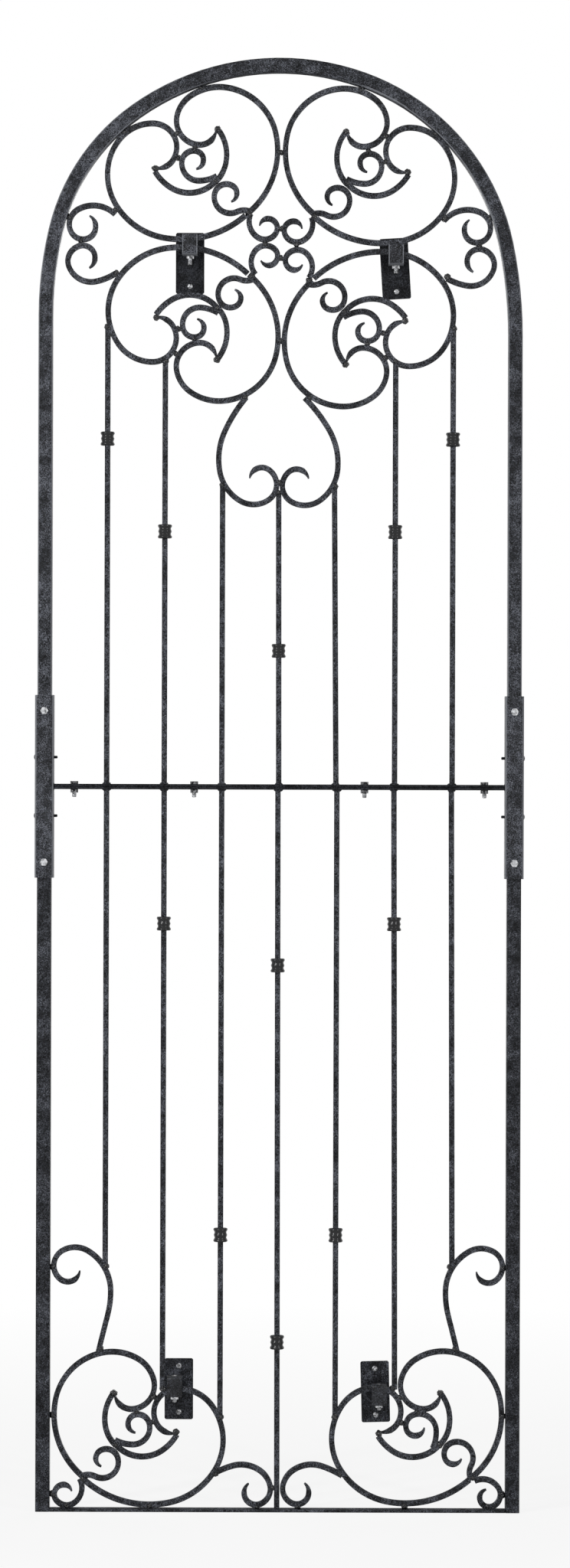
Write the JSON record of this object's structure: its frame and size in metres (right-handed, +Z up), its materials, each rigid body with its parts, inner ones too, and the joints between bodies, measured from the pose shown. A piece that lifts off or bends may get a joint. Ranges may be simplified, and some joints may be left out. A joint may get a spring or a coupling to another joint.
{
  "type": "garden trellis panel",
  "caption": "Tall arched wrought-iron garden panel with scrollwork, slim uprights and a bolted middle joint, held off a wall by swivelling brackets.",
  "frame": {"origin": "middle of the bottom rail's underside, in the plane through the middle of every bar", "axes": "+Z up the panel, +X to the right seen from the front, +Y towards the wall, front towards -Y"},
  "size_m": [0.7208, 0.0559, 2.134],
  "materials": {
    "hammered_coat": "hammered grey-black coat, low sheen",
    "weld": "glossy lumpy weld under the coat",
    "zinc": "bright zinc plate"
  },
  "bodies": {
    "panel": {"arch_frame": "hammered_coat", "left_post": "hammered_coat", "right_post": "hammered_coat", "upper_cross_rail": "hammered_coat", "lower_cross_rail": "hammered_coat", "bottom_rail": "hammered_coat", "left_sleeve": "hammered_coat", "right_sleeve": "hammered_coat", "sleeve_bolts": "zinc", "sleeve_nuts": "zinc", "sleeve_screws": "zinc", "rail_bolts": "zinc", "rail_nuts": "zinc", "arch_left_tall_scroll": "hammered_coat", "arch_left_wide_scroll": "hammered_coat", "arch_left_leaf_blades": "hammered_coat", "arch_left_curls": "hammered_coat", "arch_right_tall_scroll": "hammered_coat", "arch_right_wide_scroll": "hammered_coat", "arch_right_leaf_blades": "hammered_coat", "arch_right_curls": "hammered_coat", "hanging_left_tall_scroll": "hammered_coat", "hanging_left_wide_scroll": "hammered_coat", "hanging_left_leaf_blades": "hammered_coat", "hanging_left_curls": "hammered_coat", "hanging_right_tall_scroll": "hammered_coat", "hanging_right_wide_scroll": "hammered_coat", "hanging_right_leaf_blades": "hammered_coat", "hanging_right_curls": "hammered_coat", "corner_left_tall_scroll": "hammered_coat", "corner_left_wide_scroll": "hammered_coat", "corner_left_leaf_blades": "hammered_coat", "corner_left_curls": "hammered_coat", "corner_right_tall_scroll": "hammered_coat", "corner_right_wide_scroll": "hammered_coat", "corner_right_leaf_blades": "hammered_coat", "corner_right_curls": "hammered_coat", "left_side_scrolls": "hammered_coat", "right_side_scrolls": "hammered_coat", "heart_scrolls": "hammered_coat", "s_scrolls": "hammered_coat", "foot_scrolls": "hammered_coat", "upper_bars": "hammered_coat", "lower_bars": "hammered_coat", "collars": "hammered_coat", "weld_beads": "weld", "upper_left_clip": "hammered_coat", "upper_right_clip": "hammered_coat", "lower_left_clip": "hammered_coat", "lower_right_clip": "hammered_coat", "clip_bolts": "zinc", "clip_nuts": "zinc"},
    "upper_left_bracket": {"upper_left_pivot_eye": "hammered_coat", "upper_left_wall_plate": "hammered_coat"},
    "upper_right_bracket": {"upper_right_pivot_eye": "hammered_coat", "upper_right_wall_plate": "hammered_coat"},
    "lower_left_bracket": {"lower_left_pivot_eye": "hammered_coat", "lower_left_wall_plate": "hammered_coat"},
    "lower_right_bracket": {"lower_right_pivot_eye": "hammered_coat", "lower_right_wall_plate": "hammered_coat"}
  },
  "joints": [
    {"name": "upper_left_swivel", "type": "hinge", "parent": "panel", "child": "upper_left_bracket", "pos_m": [-0.1336, 0.0115, 1.8608], "axis": [0, 0, 1], "range_deg": [-45, 45]},
    {"name": "upper_right_swivel", "type": "hinge", "parent": "panel", "child": "upper_right_bracket", "pos_m": [0.1692, 0.0115, 1.8472], "axis": [0, 0, 1], "range_deg": [-45, 45]},
    {"name": "lower_left_swivel", "type": "hinge", "parent": "panel", "child": "lower_left_bracket", "pos_m": [-0.1515, 0.0115, 0.1826], "axis": [0, 0, 1], "range_deg": [-45, 45]},
    {"name": "lower_right_swivel", "type": "hinge", "parent": "panel", "child": "lower_right_bracket", "pos_m": [0.1493, 0.0115, 0.171], "axis": [0, 0, 1], "range_deg": [-45, 45]}
  ]
}
